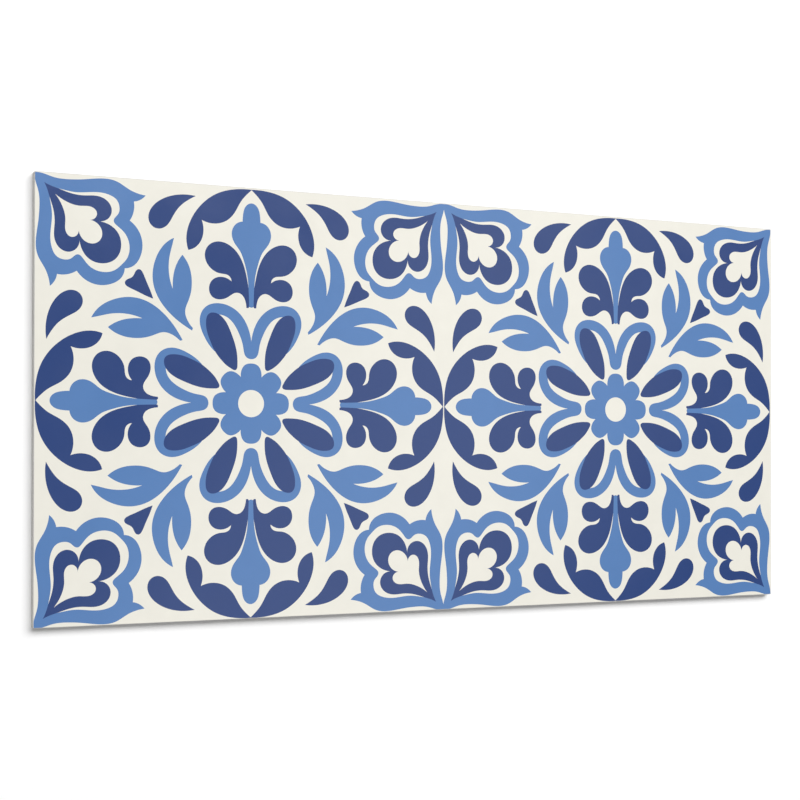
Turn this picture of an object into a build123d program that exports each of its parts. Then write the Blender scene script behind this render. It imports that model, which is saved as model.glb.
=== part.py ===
"""Peel-and-stick wall panel: one flat sheet of foamed PVC with a printed face and an adhesive back.

The sheet lies on its back. X runs along its length, Y across its width and +Z out of the printed
face. The origin is the centre of the adhesive back, so the sheet stands from Z = 0 to its thickness.
"""

import os

from build123d import *

# Driving dimensions, in millimetres
PANEL_LENGTH = 600.0
PANEL_WIDTH = 300.0
PANEL_THICKNESS = 6.0
CORNER_RADIUS = 0.8  # rounding of the four corners, seen from the front
FACE_ARRIS = 0.4  # radius that eases the edge all round the printed face

# The arris turns round each corner, so it stays this share of that corner's radius, or of the sheet
ARRIS_LIMIT = 0.9


def wall_panel():
    """The sheet: a rounded rectangle of the panel's thickness, eased round its printed face only."""
    outline = RectangleRounded(PANEL_LENGTH, PANEL_WIDTH, CORNER_RADIUS)
    sheet = extrude(outline, amount=PANEL_THICKNESS)
    printed_face = sheet.faces().sort_by(Axis.Z)[-1]
    arris = min(FACE_ARRIS, ARRIS_LIMIT * CORNER_RADIUS, ARRIS_LIMIT * PANEL_THICKNESS)
    return fillet(printed_face.edges(), radius=arris)


os.makedirs("parts", exist_ok=True)
export_step(wall_panel(), "parts/wall_panel.step")
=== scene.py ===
"""A peel-and-stick wall panel lying flat: its printed face, its finishes and the studio around it."""
import cmath
import math
from collections import namedtuple

import bmesh
import bpy
import numpy as np
from mathutils import Matrix, Vector
from mathutils.geometry import delaunay_2d_cdt


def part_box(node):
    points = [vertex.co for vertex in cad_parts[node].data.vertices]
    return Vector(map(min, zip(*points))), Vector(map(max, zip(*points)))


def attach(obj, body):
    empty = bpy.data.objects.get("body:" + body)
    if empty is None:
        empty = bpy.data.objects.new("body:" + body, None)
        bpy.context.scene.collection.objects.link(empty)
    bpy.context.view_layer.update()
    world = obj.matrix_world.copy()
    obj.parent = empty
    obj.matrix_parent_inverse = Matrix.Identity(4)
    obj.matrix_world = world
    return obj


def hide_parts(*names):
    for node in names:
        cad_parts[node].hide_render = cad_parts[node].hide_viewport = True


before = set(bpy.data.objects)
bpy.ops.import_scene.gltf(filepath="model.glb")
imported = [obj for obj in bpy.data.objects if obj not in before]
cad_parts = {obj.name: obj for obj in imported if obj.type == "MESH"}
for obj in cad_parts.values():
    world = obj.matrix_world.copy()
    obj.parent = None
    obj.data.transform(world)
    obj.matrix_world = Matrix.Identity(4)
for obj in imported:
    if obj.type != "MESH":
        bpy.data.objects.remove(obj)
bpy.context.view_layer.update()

# The sheet, in metres, about its middle. The rounding of its corners and rim is that of the solid.
LOW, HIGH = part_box("wall_panel")
MIDDLE = complex(LOW.x + HIGH.x, LOW.y + HIGH.y) / 2
HALF_LENGTH = (HIGH.x - LOW.x) / 2
HALF_WIDTH = (HIGH.y - LOW.y) / 2
CORNER_RADIUS = 0.0008
CORNER_STEPS = 6
ARRIS_RADIUS = 0.0004
ARRIS_STEPS = 4

# The print is a row of tiles, nearly square, with a narrow margin on each side of the sheet.
LEFT_MARGIN = 0.0003
RIGHT_MARGIN = 0.0009
BOTTOM_MARGIN = 0.00005
TOP_MARGIN = 0.0009
TILES = round(HALF_LENGTH / HALF_WIDTH)
TILE_LENGTH = (2 * HALF_LENGTH - LEFT_MARGIN - RIGHT_MARGIN) / TILES
TILE_WIDTH = 2 * HALF_WIDTH - BOTTOM_MARGIN - TOP_MARGIN

# The finishes, in the order of the panel's material slots. Each ink has its material's name and colour.
CREAM, LIGHT, DARK, CUT_EDGE, BACK = range(5)
INKS = {
    CREAM: ("printed_cream", (0.812, 0.792, 0.713)),
    LIGHT: ("printed_light_blue", (0.086, 0.203, 0.456)),
    DARK: ("printed_dark_blue", (0.0165, 0.0485, 0.185)),
}

# The motifs are drawn in thousandths of a tile's side, from the tile's centre, with y up.
# A point is (x, y), or (x, y, SHARP) where the outline turns a corner.
TILE_UNITS = 1000
SHARP = True

# A curve is drawn in straight steps, each about CHORD long or less, that bend by about BEND or less.
CHORD = 3.0
BEND = math.radians(5)


def across_axis(points):
    """points, then their mirror images across the tile's upright axis, in order round the motif."""
    return points + [(-x, y, *corner) for x, y, *corner in reversed(points) if x != 0]


def across_diagonal(points):
    """points, then their mirror images across the tile's diagonal, in order round the motif."""
    return points + [(y, x, *corner) for x, y, *corner in reversed(points) if x != y]


# The ornament that fills each corner of a tile, from the outside in.
CORNER_FRAME = across_diagonal([
    (500.5, 500.5, SHARP), (487, 500), (460, 492.6), (425, 490), (390, 492.8), (350, 497.6),
    (318, 493.3), (290, 477.6), (270, 469.8), (252, 466.6, SHARP), (263.4, 456.4), (279, 451, SHARP),
    (279, 431), (288.4, 407.6, SHARP), (271.4, 391), (259.4, 360), (263.2, 329.6), (280, 305.8),
    (299.5, 299.5, SHARP),
])
CORNER_BAND = across_diagonal([
    (460, 470, SHARP), (440, 466.4), (410, 462.5), (360, 466), (330.6, 460.4), (319.6, 453.4),
    (312, 436), (315.2, 420), (324.8, 403.8), (318.6, 395.2), (301, 380), (288.8, 350), (295.8, 319.8),
    (307, 307),
])
CORNER_HEART = across_diagonal([
    (480, 480, SHARP), (467, 473.8), (450, 468.4), (420, 459.4), (390, 456.8), (366, 458), (342, 450.2),
    (329.4, 427.6), (338.6, 407.6), (358, 401.6, SHARP), (339.6, 397.4), (315, 378), (307.8, 353),
    (320, 320),
])
CORNER_EYE = across_diagonal([
    (456, 456, SHARP), (430, 440), (400, 433), (378, 433), (362.8, 419), (367.4, 407.6),
    (380.5, 403.4, SHARP), (365, 398.6), (350.8, 375), (357.5, 357.5),
])

# The leaves and the arrowhead that stand between the corner and the middle.
LEAF = [
    (142.4, 165, SHARP), (160.3, 175.5), (180, 189.4), (200, 207.6), (219.6, 232.6), (231.6, 259),
    (235.6, 285), (227.8, 327), (208.6, 358.6), (186, 375, SHARP), (190, 358), (195.6, 335),
    (196.8, 290), (188.4, 258.5, SHARP), (188, 282), (180.6, 313), (166, 337.5, SHARP), (149, 309),
    (143.6, 275), (145, 256), (152.6, 230.5), (159, 210), (154.6, 190.4), (140.8, 171, SHARP),
]
ARROW = across_diagonal([
    (234, 234, SHARP), (241.8, 255), (249.4, 272), (257.6, 290.8), (267.4, 299.2), (275.8, 292.4),
    (281.7, 281.7),
])

# The palmette at the middle of each side: its drops, arch, scrolls and bud.
DROP = [
    (134.8, 474, SHARP), (178, 474), (216.4, 460.2), (238.8, 439.6), (245.6, 418), (238.8, 400.8),
    (222, 393.8), (203, 402), (189.4, 422.6), (172, 448), (153.6, 463),
]
ARCH = [
    (0, 498.4, SHARP), (40, 496.6), (80, 485.5), (120, 457), (150.4, 409.2), (156.8, 375),
    (152, 349.4, SHARP), (130, 361.4), (116.4, 392.6), (120.5, 420.3, SHARP), (91, 413.8),
    (59.4, 423.4), (39.4, 445.2), (26, 469.2), (14, 484), (5, 492.8), (0, 497.2, SHARP),
]
SCROLL = [
    (7, 222.2, SHARP), (5, 225.8, SHARP), (4.8, 250), (9.4, 283), (18.6, 320), (35.4, 350.6),
    (57.8, 368.2), (79, 373.2), (106, 360.6), (112.8, 338), (97.6, 309.6), (75, 299.4), (56.4, 296),
    (48.4, 282.3, SHARP), (60, 289.4), (74, 291.8), (95, 283.2), (102.6, 264), (95, 245.2), (77, 239.4),
    (55.6, 246.4), (36.2, 256.6), (21.2, 250.4), (13.6, 234), (12, 222.2, SHARP),
]
BUD = across_axis([
    (0, 466.5), (14, 459), (20.6, 440.4), (21.8, 422.8, SHARP), (40.6, 413.6), (48.2, 393),
    (41.2, 371.4), (27.6, 353.2), (18.8, 332.4), (10.4, 300), (6.6, 262), (5.6, 225.6, SHARP),
    (0, 223.4),
])

# The flower in the middle: a ribbon and two petals on each side, and a rosette round its eye.
RIBBON = across_axis([
    (0, 144.5, SHARP), (5.6, 170), (21, 200), (44, 220.4), (79, 230.6), (111, 220.6), (124.6, 191.5),
    (114.6, 154.4), (104.2, 136.6), (88, 118.5, SHARP), (95, 160, SHARP), (84, 204, SHARP), (60, 199.5),
    (38.2, 177.4), (27.6, 156.6), (20.3, 134), (17.9, 120), (13.4, 109.4), (0, 103.4),
])
PETAL = [
    (33.6, 87), (38, 77.4), (46, 78.9), (60.4, 88), (75.4, 102.8), (89, 121), (100, 144.4),
    (107.5, 165.8), (109.6, 188), (102, 206), (92, 208.6), (70, 198.4), (49.2, 163.6), (35.4, 120),
]
ROSETTE_LOBES = 8
LOBE = [(25.4, 61.3), (24, 76.2), (15.8, 89.2), (0, 93.5), (-15.8, 89.2), (-24, 76.2), (-25.4, 61.3)]
EYE_RADIUS = 31.7
EYE_STEPS = 72

# The factors that turn a line of x + iy about the tile's centre, into each of its four quarters.
QUARTER_TURNS = (1, 1j, -1, -1j)


def velocity(leave, arrive):
    """How far along its chord a curve's control point lies, for the angles at the curve's two ends.

    The numbers are the usual ones of a spline that bends as a pen's line does.
    """
    bow = math.sin(leave) - math.sin(arrive) / 16
    bow *= math.sin(arrive) - math.sin(leave) / 16
    bow *= math.cos(leave) - math.cos(arrive)
    spread = 1 + (math.sqrt(5) - 1) / 2 * math.cos(leave) + (3 - math.sqrt(5)) / 2 * math.cos(arrive)
    return (2 + math.sqrt(2) * bow) / (3 * spread)


def leaving_angles(length, turn, closed):
    """The angle from its chord at which a smooth line leaves each point, so that it bends evenly."""
    count = len(turn)
    left = np.zeros((count, count))
    right = np.zeros(count)
    for here in range(count):
        before, after = (here - 1) % count, (here + 1) % count
        if not closed and here == 0:
            left[here, here] = left[here, after] = 1.0
            right[here] = -turn[after]
        elif not closed and here == count - 1:
            left[here, before] = left[here, here] = 1.0
        else:
            near, far = 1 / length[here - 1], 1 / length[here]
            left[here, before] += near
            left[here, here] += 2 * near + 2 * far
            left[here, after] += far
            right[here] = -2 * near * turn[here] - far * turn[after]
    return np.linalg.solve(left, right)


def on_curve(start, first, second, end, t):
    """The point at t, from 0 to 1, on the curve from start to end with these two control points."""
    s = 1 - t
    return s**3 * start + 3 * s * s * t * first + 3 * s * t * t * second + t**3 * end


def smooth_line(points, closed):
    """A smooth line through points, as a list of x + iy. An open one keeps its last point."""
    knots = [complex(*point) for point in points]
    ends = knots[1:] + knots[:1] if closed else knots[1:]
    chords = np.array([end - start for start, end in zip(knots, ends)])
    length = np.abs(chords)
    if closed:
        turn = np.angle(chords / np.roll(chords, 1))
    else:
        turn = np.concatenate([[0.0], np.angle(chords[1:] / chords[:-1]), [0.0]])
    straight = len(knots) == 2
    leave = np.zeros(2) if straight else leaving_angles(length, turn, closed)
    arrive = -turn - leave

    line = []
    for here, (start, end) in enumerate(zip(knots, ends)):
        leaves, arrives = leave[here], arrive[(here + 1) % len(knots)]
        first = start + velocity(leaves, arrives) * cmath.exp(1j * leaves) * chords[here]
        second = end - velocity(arrives, leaves) * cmath.exp(-1j * arrives) * chords[here]
        steps = max(1, round(length[here] / CHORD), math.ceil((abs(leaves) + abs(arrives)) / BEND))
        line += [on_curve(start, first, second, end, t) for t in np.arange(steps) / steps]
    return line if closed else line + [knots[-1]]


def outline(points):
    """The closed line through points, smooth but for its SHARP corners, as a list of x + iy."""
    corners = [index for index, point in enumerate(points) if point[-1] is SHARP]
    if not corners:
        return smooth_line(points, closed=True)
    from_corner = points[corners[0]:] + points[: corners[0] + 1]
    line = []
    run = [from_corner[0][:2]]
    for point in from_corner[1:]:
        run.append(point[:2])
        if point[-1] is SHARP:
            line += smooth_line(run, closed=False)[:-1]
            run = run[-1:]
    return line


def circle(radius, steps):
    """A circle about the tile's centre."""
    return [cmath.rect(radius, 2 * math.pi * step / steps) for step in range(steps)]


def rosette():
    """A ring of equal lobes that meet in notches."""
    lobe = smooth_line(LOBE, closed=False)[:-1]
    return [turn * z for turn in circle(1, ROSETTE_LOBES) for z in lobe]


def turned(line):
    """A motif's line in each of a tile's four quarters."""
    return [[turn * z for z in line] for turn in QUARTER_TURNS]


def mirrored(line):
    """A motif's line and its mirror image in each of a tile's four quarters."""
    return turned(line) + turned([-z.conjugate() for z in line])


def tile_print():
    """One tile's print as (ink, line) pairs in the order of printing: a later ink covers an earlier."""
    layers = [
        (LIGHT, turned(outline(CORNER_FRAME))),
        (CREAM, turned(outline(CORNER_BAND))),
        (DARK, turned(outline(CORNER_HEART))),
        (CREAM, turned(outline(CORNER_EYE))),
        (LIGHT, mirrored(outline(LEAF))),
        (DARK, turned(outline(ARROW))),
        (DARK, mirrored(outline(DROP))),
        (DARK, mirrored(outline(ARCH))),
        (DARK, mirrored(outline(SCROLL))),
        (LIGHT, turned(outline(BUD))),
        (LIGHT, turned(outline(RIBBON))),
        (DARK, mirrored(outline(PETAL))),
        (LIGHT, [rosette()]),
        (CREAM, [circle(EYE_RADIUS, EYE_STEPS)]),
    ]
    return [(ink, line) for ink, lines in layers for line in lines]


def anticlockwise(line):
    """line, turned round where it runs clockwise."""
    area = sum((start.conjugate() * end).imag for start, end in zip(line, line[1:] + line[:1]))
    return line if area > 0 else line[::-1]


def on_sheet(tile, z):
    """The place on the sheet of a point of a tile's print."""
    along = LEFT_MARGIN - HALF_LENGTH + (tile + 0.5 + z.real / TILE_UNITS) * TILE_LENGTH
    aside = BOTTOM_MARGIN - HALF_WIDTH + (0.5 + z.imag / TILE_UNITS) * TILE_WIDTH
    return complex(along, aside)


def sheet_outline(inset):
    """The sheet's outline, moved in by inset, anticlockwise, in metres from its middle."""
    line = []
    for quarter, (right, up) in enumerate([(1, 1), (-1, 1), (-1, -1), (1, -1)]):
        corner = complex(right * (HALF_LENGTH - CORNER_RADIUS), up * (HALF_WIDTH - CORNER_RADIUS))
        for step in range(CORNER_STEPS + 1):
            angle = (quarter + step / CORNER_STEPS) * math.pi / 2
            line.append(corner + cmath.rect(CORNER_RADIUS - inset, angle))
    return line


def face_height(place):
    """The height of the printed face at a place: level, and rounded off along the rim."""
    right = abs(place.real) - (HALF_LENGTH - CORNER_RADIUS)
    up = abs(place.imag) - (HALF_WIDTH - CORNER_RADIUS)
    out = math.hypot(right, up) if min(right, up) > 0 else max(right, up)
    past = min(max(out - (CORNER_RADIUS - ARRIS_RADIUS), 0.0), ARRIS_RADIUS)
    return HIGH.z - ARRIS_RADIUS + math.sqrt(ARRIS_RADIUS**2 - past**2)


# The first two of the face's lines: round all of it, and round what lies inside its rim.
WHOLE, PRINTED = range(2)


def finish_lines():
    """The lines round the face's finishes, as (finish, line) pairs: a later one covers an earlier."""
    lines = [(CUT_EDGE, sheet_outline(0.0)), (CREAM, sheet_outline(ARRIS_RADIUS))]
    for tile in range(TILES):
        for ink, line in tile_print():
            lines.append((ink, [on_sheet(tile, z) for z in anticlockwise(line)]))
    return lines


def rim_lines():
    """The lines along which the rim bends, between the flat of the face and the sides."""
    angles = [step / ARRIS_STEPS * math.pi / 2 for step in range(1, ARRIS_STEPS)]
    return [sheet_outline(ARRIS_RADIUS * (1 - math.cos(angle))) for angle in angles]


# How the face is cut into triangles: only inside its lines, and with points nearer than SNAP made one.
# It is done in tile units, where a millionth of a metre is well above the rounding.
INSIDE_LINES = 1
SNAP = 0.001


def face_cells():
    """The face and its rim in triangles along the print: (places, triangles, each one's finish)."""
    lines = finish_lines()
    points = []
    loops = []
    for line in [line for _, line in lines] + rim_lines():
        loops.append(list(range(len(points), len(points) + len(line))))
        points += line
    bounds = loops[: len(lines)]
    creases = [pair for loop in loops[len(lines):] for pair in zip(loop, loop[1:] + loop[:1])]

    unit = TILE_WIDTH / TILE_UNITS
    flat = [Vector((z.real / unit, z.imag / unit)) for z in points]
    corners, _, cells, _, _, owners = delaunay_2d_cdt(flat, creases, bounds, INSIDE_LINES, SNAP)
    places = [complex(corner.x, corner.y) * unit for corner in corners]
    triangles = []
    finishes = []
    for cell, inside in zip(cells, owners):
        if WHOLE in inside:
            triangles.append(cell)
            finishes.append(lines[max(inside)][0] if PRINTED in inside else CUT_EDGE)
    return places, triangles, finishes


# Where each finish lies on the map meant for its colour: the height of the foot of its strip.
# Each ink has a strip of its own, so no ink runs into its neighbour.
MAP_NAME = "OFBake"
MAP_MARGIN = 0.012
STRIP_HEIGHT = 0.205
STRIP_FOOT = {CREAM: 0.012, LIGHT: 0.232, DARK: 0.452, BACK: 0.672}

# The sheet's four edges lie above those, one over the other in this order.
BOTTOM, TOP, LEFT, RIGHT = range(4)
EDGE_FOOT = 0.890
EDGE_PITCH = 0.026
EDGE_HEIGHT = 0.014


def edge_of(face):
    """The edge of the sheet that a face of the cut foam looks out from."""
    if abs(face.normal.y) > abs(face.normal.x):
        return TOP if face.normal.y > 0 else BOTTOM
    return RIGHT if face.normal.x > 0 else LEFT


def map_place(face, corner):
    """Where a face's corner lies on the colour map, as (across, up) from 0 to 1."""
    along = (corner.x - LOW.x) / (HIGH.x - LOW.x)
    aside = (corner.y - LOW.y) / (HIGH.y - LOW.y)
    high = (corner.z - LOW.z) / (HIGH.z - LOW.z)
    if face.material_index == CUT_EDGE:
        edge = edge_of(face)
        across = along if edge in (BOTTOM, TOP) else aside
        up = EDGE_FOOT + EDGE_PITCH * edge + EDGE_HEIGHT * high
    else:
        across = along
        up = STRIP_FOOT[face.material_index] + STRIP_HEIGHT * aside
    return MAP_MARGIN + (1 - 2 * MAP_MARGIN) * across, up


def panel_mesh():
    """The panel as one closed mesh: the printed face, its rounded rim, the cut sides and the back."""
    places, triangles, finishes = face_cells()
    body = bmesh.new()
    corners = [
        body.verts.new((z.real + MIDDLE.real, z.imag + MIDDLE.imag, face_height(z))) for z in places
    ]
    for triangle, finish in zip(triangles, finishes):
        body.faces.new([corners[index] for index in triangle]).material_index = finish
    stray = [corner for corner in body.verts if not corner.link_faces]
    bmesh.ops.delete(body, geom=stray, context="VERTS")

    rim = [edge.link_loops[0] for edge in body.edges if edge.is_boundary]
    foot = {loop.vert: body.verts.new((loop.vert.co.x, loop.vert.co.y, LOW.z)) for loop in rim}
    for loop in rim:
        start, end = loop.vert, loop.link_loop_next.vert
        body.faces.new((end, start, foot[start], foot[end])).material_index = CUT_EDGE
    around_back = [edge for edge in body.edges if edge.is_boundary]
    for face in bmesh.ops.edgeloop_fill(body, edges=around_back)["faces"]:
        face.material_index = BACK
    bmesh.ops.recalc_face_normals(body, faces=body.faces)

    layer = body.loops.layers.uv.new(MAP_NAME)
    for face in body.faces:
        for loop in face.loops:
            loop[layer].uv = map_place(face, loop.vert.co)
    mesh = bpy.data.meshes.new("printed_panel")
    body.to_mesh(mesh)
    body.free()
    return mesh


def fill_inputs(tree, target, **inputs):
    """Sets each named input of a shader node to a value, or links it where it is given an output."""
    for name, value in inputs.items():
        socket = target.inputs[name.replace("_", " ")]
        if isinstance(value, bpy.types.NodeSocket):
            tree.links.new(value, socket)
        else:
            socket.default_value = value


def node(tree, kind, **inputs):
    """A new shader node with these inputs."""
    made = tree.nodes.new(kind)
    fill_inputs(tree, made, **inputs)
    return made


def new_material(name):
    """A new material: (the material, its node tree, its shader)."""
    material = bpy.data.materials.new(name)
    material.use_nodes = True
    return material, material.node_tree, material.node_tree.nodes["Principled BSDF"]


# A surface varies in soft patches: about so many metres across, with so much detail, from low to high.
Patches = namedtuple("Patches", "size detail low high", defaults=(0.0, 1.0))

# Nearly all of Blender's noise lies between these values.
NOISE_LOW, NOISE_HIGH = 0.3, 0.7


def varied(tree, patches):
    """A value that varies over the surface in patches."""
    place = node(tree, "ShaderNodeTexCoord").outputs["Object"]
    noise = node(tree, "ShaderNodeTexNoise", Vector=place, Scale=1 / patches.size, Detail=patches.detail)
    reach = node(tree, "ShaderNodeMapRange", Value=noise.outputs["Fac"])
    fill_inputs(tree, reach, From_Min=NOISE_LOW, From_Max=NOISE_HIGH)
    fill_inputs(tree, reach, To_Min=patches.low, To_Max=patches.high)
    return reach.outputs["Result"]


def surface(name, colour, tone, roughness, bumps, depth):
    """A material that varies over its surface in brightness, roughness and bumps, depth metres deep."""
    material, tree, shader = new_material(name)
    tint = node(tree, "ShaderNodeHueSaturation", Color=(*colour, 1.0), Value=varied(tree, tone))
    relief = node(tree, "ShaderNodeBump", Strength=1.0, Distance=depth, Height=varied(tree, bumps))
    fill_inputs(tree, shader, Base_Color=tint.outputs["Color"], Normal=relief.outputs["Normal"])
    fill_inputs(tree, shader, Roughness=varied(tree, roughness))
    return material


def printed_film(name, ink):
    """Satin film with one ink on it: a hardly cloudy colour, uneven gloss and the film's faint waves."""
    return surface(
        name,
        colour=ink,
        tone=Patches(size=0.012, detail=3.0, low=0.985, high=1.015),
        roughness=Patches(size=0.030, detail=2.0, low=0.21, high=0.26),
        bumps=Patches(size=0.0030, detail=1.0),
        depth=0.000012,
    )


def cut_foam():
    """The cut edge of a foamed plastic sheet: off-white, matt and finely pitted."""
    return surface(
        "cut_foam_edge",
        colour=(0.58, 0.57, 0.545),
        tone=Patches(size=0.0012, detail=4.0, low=0.90, high=1.04),
        roughness=Patches(size=0.0020, detail=2.0, low=0.62, high=0.80),
        bumps=Patches(size=0.0006, detail=2.0),
        depth=0.00008,
    )


def release_paper():
    """The plain waxed paper over the adhesive: white, a little cloudy, with a soft gloss."""
    return surface(
        "release_paper_back",
        colour=(0.79, 0.79, 0.76),
        tone=Patches(size=0.0050, detail=5.0, low=0.955, high=1.02),
        roughness=Patches(size=0.0150, detail=3.0, low=0.38, high=0.52),
        bumps=Patches(size=0.0040, detail=3.0),
        depth=0.00003,
    )


def make_panel():
    """The printed panel, in the place of its solid."""
    mesh = panel_mesh()
    for name, ink in INKS.values():
        mesh.materials.append(printed_film(name, ink))
    mesh.materials.append(cut_foam())
    mesh.materials.append(release_paper())
    panel = bpy.data.objects.new("printed_panel", mesh)
    bpy.context.scene.collection.objects.link(panel)
    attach(panel, "root")
    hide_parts("wall_panel")


# The studio: a white floor, an even white sky, and a wide soft key light high over the panel, out past
# its top edge and to the right. A strip light adds only its soft reflection in the film.
FLOOR_HALF = 8.0
FLOOR_DROP = 0.0001
FLOOR_COLOUR = (0.995, 0.995, 0.995, 1.0)
SKY_COLOUR = (1.0, 1.0, 1.0, 1.0)
SKY_STRENGTH = 0.31
KEY_PLACE = Vector((1.30, 3.34, 4.99))
KEY_SIZE = (7.50, 3.49)
KEY_SPIN = 0.0
KEY_POWER = 449.0
STRIP_PLACE = Vector((0.87, -0.48, 2.60))
STRIP_SIZE = (0.90, 2.57)
STRIP_SPIN = math.radians(-37)
STRIP_POWER = 8.0


def make_floor():
    """A wide, matt white floor under the panel."""
    mesh = bpy.data.meshes.new("floor")
    far = FLOOR_HALF
    level = LOW.z - FLOOR_DROP
    corners = [(-far, -far, level), (far, -far, level), (far, far, level), (-far, far, level)]
    mesh.from_pydata(corners, [], [(0, 1, 2, 3)])
    material, tree, shader = new_material("floor_white")
    fill_inputs(tree, shader, Base_Color=FLOOR_COLOUR, Roughness=1.0, Specular_IOR_Level=0.0)
    mesh.materials.append(material)
    floor = bpy.data.objects.new("floor", mesh)
    bpy.context.scene.collection.objects.link(floor)


def make_light(name, place, size, spin, power):
    """A soft rectangular light at a place, facing the panel, and spun round from lying along x and y."""
    data = bpy.data.lights.new(name, "AREA")
    data.shape = "RECTANGLE"
    data.size, data.size_y = size
    data.energy = power
    light = bpy.data.objects.new(name, data)
    out = place.normalized()
    side = Vector((0, 1, 0)).cross(out).normalized()
    facing = Matrix((side, out.cross(side), out)).transposed().to_4x4()
    light.matrix_world = Matrix.Translation(place) @ facing @ Matrix.Rotation(spin, 4, "Z")
    bpy.context.scene.collection.objects.link(light)
    return light


def make_lights():
    """The key light, and the strip light that shows only in the gloss."""
    make_light("key", KEY_PLACE, KEY_SIZE, KEY_SPIN, KEY_POWER)
    strip = make_light("strip", STRIP_PLACE, STRIP_SIZE, STRIP_SPIN, STRIP_POWER)
    strip.visible_diffuse = False


def make_sky():
    """An even white sky, which fills the shadows."""
    world = bpy.data.worlds.new("sky")
    world.use_nodes = True
    background = world.node_tree.nodes["Background"]
    fill_inputs(world.node_tree, background, Color=SKY_COLOUR, Strength=SKY_STRENGTH)
    bpy.context.scene.world = world


# The camera is placed by what it sees: the turns of the printed face about x, y and z, of which y comes
# first and z last, and where the face's middle lies before it: to the right, up and, as a minus, away.
CAMERA_TURNS = [math.radians(angle) for angle in (-0.390, 24.823, -0.098)]
CAMERA_SEES = Vector((0.03247, 0.02724, -1.11522))
SENSOR = 36.0
LENS = 68.002
RISE = 0.05383


def make_camera():
    """The camera looks down on the panel from the left of its middle."""
    data = bpy.data.cameras.new("camera")
    data.sensor_width = SENSOR
    data.lens = LENS
    data.shift_y = RISE
    camera = bpy.data.objects.new("camera", data)
    about_x, about_y, about_z = CAMERA_TURNS
    turn = Matrix.Rotation(about_z, 4, "Z") @ Matrix.Rotation(about_x, 4, "X")
    turn = turn @ Matrix.Rotation(about_y, 4, "Y")
    seen = Matrix.Translation(CAMERA_SEES) @ turn
    face_middle = Matrix.Translation((MIDDLE.real, MIDDLE.imag, HIGH.z))
    camera.matrix_world = face_middle @ seen.inverted()
    bpy.context.scene.collection.objects.link(camera)
    bpy.context.scene.camera = camera


make_panel()
make_floor()
make_lights()
make_sky()
make_camera()
bpy.context.scene.view_settings.view_transform = "Standard"
